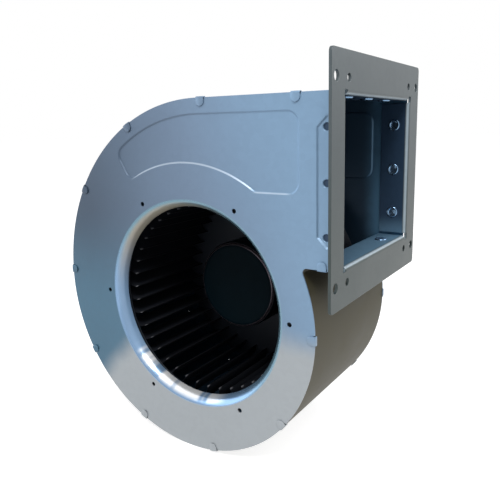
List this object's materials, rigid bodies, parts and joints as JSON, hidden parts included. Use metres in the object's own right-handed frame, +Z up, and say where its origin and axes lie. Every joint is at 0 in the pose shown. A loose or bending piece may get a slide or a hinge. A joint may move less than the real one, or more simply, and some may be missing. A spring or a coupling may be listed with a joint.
{
  "type": "dc centrifugal blower",
  "caption": "Single-inlet centrifugal blower in a galvanised sheet scroll housing, with a forward-curved wheel on an external-rotor DC motor and a rectangular outlet flange.",
  "frame": {"origin": "centre of the inlet, on the wheel axis, in the outer face of the front side plate", "axes": "+Y runs into the inlet along the wheel axis, +X is the direction of the outlet, +Z is up"},
  "size_m": [0.2528, 0.158, 0.2885],
  "materials": {
    "galvanised_sheet": "galvanised sheet steel, satin",
    "wheel_sheet": "galvanised strip steel, satin",
    "rotor_steel": "black electrophoretic coat, satin",
    "magnet": "sintered ferrite, matt",
    "bright_steel": "ground steel",
    "turned_aluminium": "turned aluminium, satin",
    "sintered_bronze": "oil-filled sintered bronze",
    "core_steel": "stacked laminations",
    "insulator_plastic": "glass-filled plastic",
    "copper_winding": "enamelled copper wire",
    "board_laminate": "solder-masked laminate",
    "component_plastic": "moulded component cases",
    "screw_steel": "zinc-plated steel",
    "grommet_rubber": "matt rubber"
  },
  "bodies": {
    "housing": {"front_side_plate": "galvanised_sheet", "rear_side_plate": "galvanised_sheet", "scroll_wrapper": "galvanised_sheet", "outlet_flange": "galvanised_sheet", "motor_flange": "turned_aluminium", "bearing_cover": "turned_aluminium", "bearing_bush": "sintered_bronze", "stator_core": "core_steel", "front_winding_insulator": "insulator_plastic", "rear_winding_insulator": "insulator_plastic", "stator_windings": "copper_winding", "circuit_board": "board_laminate", "hall_sensors": "component_plastic", "power_transistors": "component_plastic", "board_capacitor": "component_plastic", "motor_screws": "screw_steel", "lead_grommet": "grommet_rubber"},
    "rotor": {"wheel_blades": "wheel_sheet", "wheel_front_ring": "wheel_sheet", "wheel_back_disc": "wheel_sheet", "rotor_cup": "rotor_steel", "rotor_magnets": "magnet", "rotor_shaft": "bright_steel", "shaft_retaining_ring": "bright_steel"}
  },
  "joints": [
    {"name": "rotor_spin", "type": "hinge", "parent": "housing", "child": "rotor", "pos_m": [0, 0.06, 0], "axis": [0, 1, 0], "continuous": true}
  ]
}
